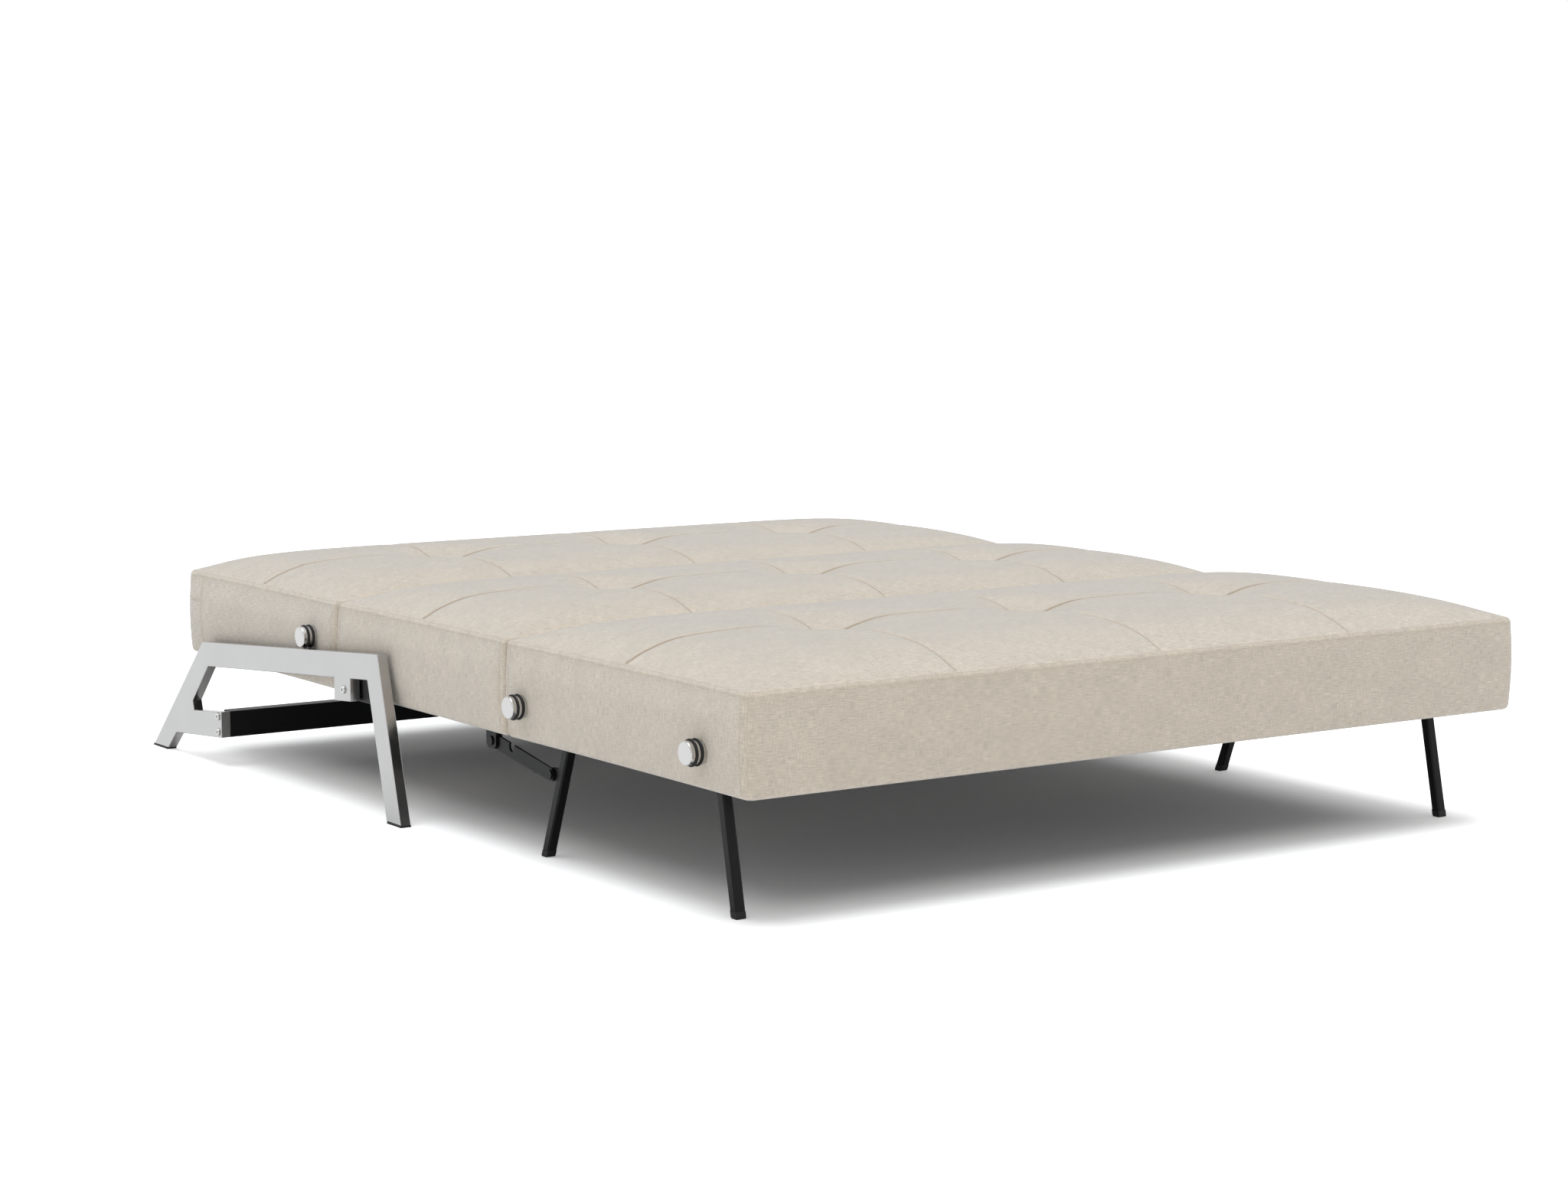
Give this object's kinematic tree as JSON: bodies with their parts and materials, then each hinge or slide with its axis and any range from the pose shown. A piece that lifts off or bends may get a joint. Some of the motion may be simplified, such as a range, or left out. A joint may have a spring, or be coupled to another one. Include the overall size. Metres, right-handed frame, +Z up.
{
  "type": "sofa bed",
  "caption": "Sofa bed laid flat: tufted seat, back and foot sections, the back turning on bolts in metal side frames, with a fold-down foot section on folding legs.",
  "frame": {"origin": "on the floor, under the middle of the whole object laid out as a bed", "axes": "+Z up; X along the width of the sofa; +Y towards the front edge of the seat and the rear tips of the side frames; -Y towards the foot of the bed"},
  "size_m": [1.6636, 2.1109, 0.405],
  "materials": {
    "upholstery": "woven linen look, matt",
    "frame_metal": "polished plate, lightly satin faces",
    "bright_metal": "polished",
    "black_paint": "satin black",
    "black_plastic": "matt black",
    "rubber": "matt black",
    "dust_cloth": "black non-woven cloth"
  },
  "bodies": {
    "frames": {"cross_beam": "black_paint", "side_frame_left": "frame_metal", "side_frame_right": "frame_metal", "frame_front_foot_left": "black_plastic", "frame_front_foot_right": "black_plastic", "frame_rear_foot_left": "black_plastic", "frame_rear_foot_right": "black_plastic", "back_pivot_bolt_left": "bright_metal", "back_pivot_bolt_right": "bright_metal", "beam_upper_bolt_left": "bright_metal", "beam_upper_bolt_right": "bright_metal", "beam_lower_bolt_left": "bright_metal", "beam_lower_bolt_right": "bright_metal", "seat_ledge_left": "black_paint", "seat_ledge_right": "black_paint"},
    "seat": {"seat_cushion": "upholstery", "seat_base_frame": "black_paint", "seat_dust_sheet": "dust_cloth", "seat_knob_left": "bright_metal", "seat_knob_right": "bright_metal", "seat_knob_outer_ring_left": "rubber", "seat_knob_outer_ring_right": "rubber", "seat_knob_inner_ring_left": "rubber", "seat_knob_inner_ring_right": "rubber"},
    "back": {"back_cushion": "upholstery", "back_base_frame": "black_paint", "back_dust_sheet": "dust_cloth", "back_hinge_plate_left": "black_paint", "back_hinge_plate_right": "black_paint", "link_bracket_left": "black_paint", "link_bracket_right": "black_paint", "strap_hinge_back_leaf_left": "black_paint", "strap_hinge_back_leaf_right": "black_paint"},
    "foot": {"foot_cushion": "upholstery", "foot_base_frame": "black_paint", "foot_inner_knob_left": "bright_metal", "foot_inner_knob_right": "bright_metal", "foot_inner_knob_outer_ring_left": "rubber", "foot_inner_knob_outer_ring_right": "rubber", "foot_inner_knob_inner_ring_left": "rubber", "foot_inner_knob_inner_ring_right": "rubber", "foot_outer_knob_left": "bright_metal", "foot_outer_knob_right": "bright_metal", "foot_outer_knob_outer_ring_left": "rubber", "foot_outer_knob_outer_ring_right": "rubber", "foot_outer_knob_inner_ring_left": "rubber", "foot_outer_knob_inner_ring_right": "rubber", "strap_hinge_foot_leaf_left": "black_paint", "strap_hinge_foot_leaf_right": "black_paint"},
    "mid_legs": {"mid_leg_frame": "black_paint", "mid_leg_cap_left": "black_plastic", "mid_leg_cap_right": "black_plastic"},
    "end_legs": {"end_leg_frame": "black_paint", "end_leg_cap_left": "black_plastic", "end_leg_cap_right": "black_plastic"},
    "link_left": {"link_bar_left": "black_paint"},
    "link_right": {"link_bar_right": "black_paint"}
  },
  "joints": [
    {"name": "back_fold", "type": "hinge", "parent": "frames", "child": "back", "pos_m": [0, 0.198, 0.2164], "axis": [1, 0, 0], "range_deg": [-75, 0]},
    {"name": "seat_slide", "type": "slide", "parent": "frames", "child": "seat", "axis": [0, 0.9968, -0.0797], "range_m": [0, 0.1428]},
    {"name": "foot_fold", "type": "hinge", "parent": "back", "child": "foot", "pos_m": [0, -0.333, 0.194], "axis": [1, 0, 0], "range_deg": [0, 160]},
    {"name": "mid_leg_fold", "type": "hinge", "parent": "foot", "child": "mid_legs", "pos_m": [0, -0.5155, 0.2432], "axis": [1, 0, 0], "range_deg": [-107.1, 0]},
    {"name": "end_leg_fold", "type": "hinge", "parent": "foot", "child": "end_legs", "pos_m": [0, -0.8923, 0.2432], "axis": [1, 0, 0], "range_deg": [0, 97.7]},
    {"name": "link_left_turn", "type": "hinge", "parent": "back", "child": "link_left", "pos_m": [-0.75, -0.2105, 0.174], "axis": [1, 0, 0], "range_deg": [0, 154.8]},
    {"name": "link_right_turn", "type": "hinge", "parent": "back", "child": "link_right", "pos_m": [0.75, -0.2105, 0.174], "axis": [1, 0, 0], "range_deg": [0, 154.8]}
  ],
  "couplings": [
    {"joint": "seat_slide", "follows": "back_fold", "m_per_rad": -0.109},
    {"joint": "mid_leg_fold", "follows": "foot_fold", "ratio": -0.669},
    {"joint": "end_leg_fold", "follows": "foot_fold", "ratio": 0.61},
    {"joint": "link_left_turn", "follows": "foot_fold", "ratio": 0.967},
    {"joint": "link_right_turn", "follows": "foot_fold", "ratio": 0.967}
  ]
}
